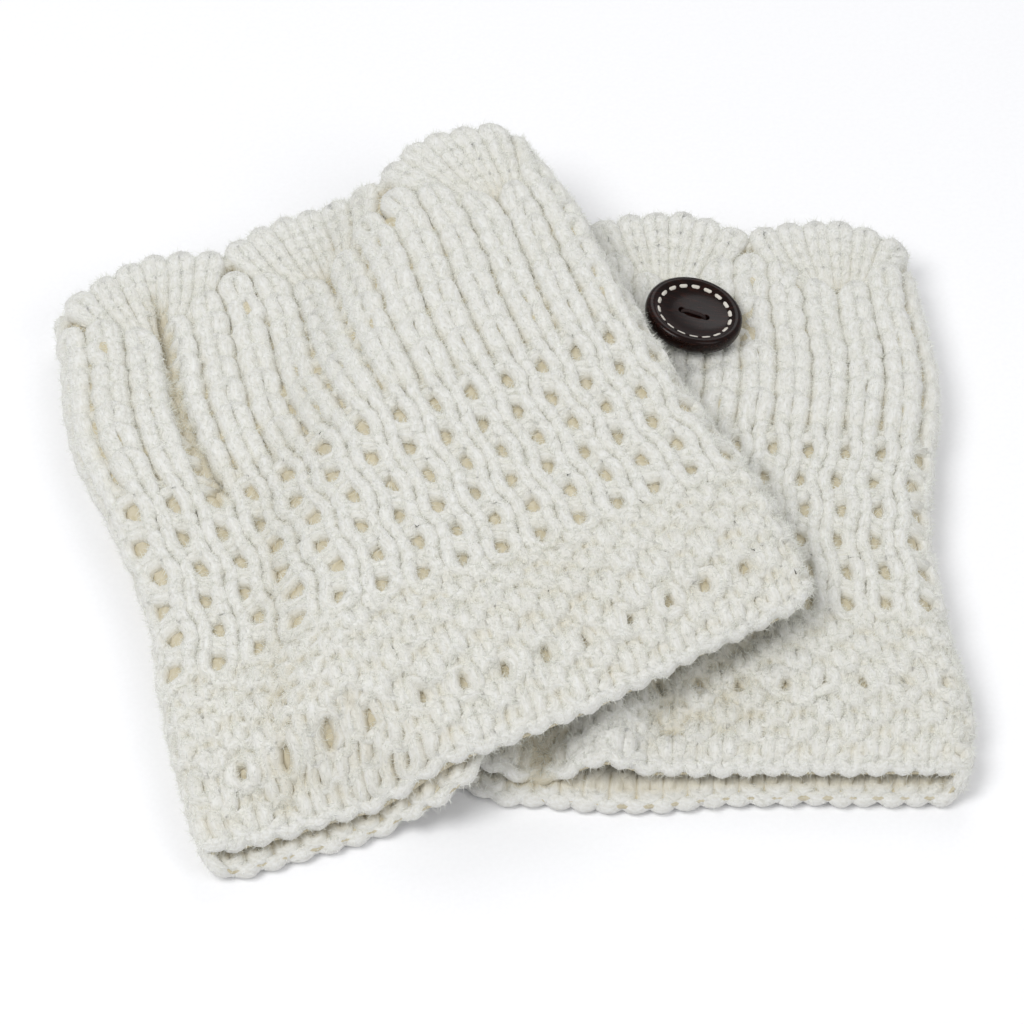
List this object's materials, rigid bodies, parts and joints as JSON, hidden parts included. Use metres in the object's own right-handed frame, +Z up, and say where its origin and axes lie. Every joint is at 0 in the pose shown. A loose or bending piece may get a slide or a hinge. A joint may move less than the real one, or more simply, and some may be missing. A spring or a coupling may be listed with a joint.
{
  "type": "pair of knitted leg warmers",
  "caption": "Pair of short knitted boot-cuff leg warmers laid flat and crossed, with shell edging, chunky ribs, eyelet lace and a round button on one cuff.",
  "frame": {"origin": "on the floor, under the middle of the pair's bounding box", "axes": "+Z up from the surface the pair lies on; +X to the right and +Y away from the viewer, towards the shell edging"},
  "size_m": [0.2114, 0.2036, 0.0304],
  "materials": {
    "over_shell_trim_yarn": "soft fluffy off-white yarn, fans of ridges with a scalloped edge",
    "over_rib_band_yarn": "soft fluffy off-white yarn, chunky vertical ribs",
    "over_lace_body_yarn": "soft fluffy off-white yarn, open knit with rows of eyelets",
    "over_hem_band_yarn": "soft fluffy off-white yarn, dense bumpy knit with a looped hem",
    "under_shell_trim_yarn": "soft fluffy off-white yarn, fans of ridges with a scalloped edge",
    "under_rib_band_yarn": "soft fluffy off-white yarn, chunky vertical ribs",
    "under_lace_body_yarn": "soft fluffy off-white yarn, open knit with rows of eyelets",
    "under_hem_band_yarn": "soft fluffy off-white yarn, dense bumpy knit with a looped hem",
    "button_wood": "dark brown turned wood, satin",
    "button_thread": "dark sewing thread"
  },
  "bodies": {
    "root": {"over_shell_trim": "over_shell_trim_yarn", "over_rib_band": "over_rib_band_yarn", "over_lace_body": "over_lace_body_yarn", "over_hem_band": "over_hem_band_yarn", "under_shell_trim": "under_shell_trim_yarn", "under_rib_band": "under_rib_band_yarn", "under_lace_body": "under_lace_body_yarn", "under_hem_band": "under_hem_band_yarn", "button": "button_wood", "button_thread": "button_thread"}
  },
  "joints": []
}
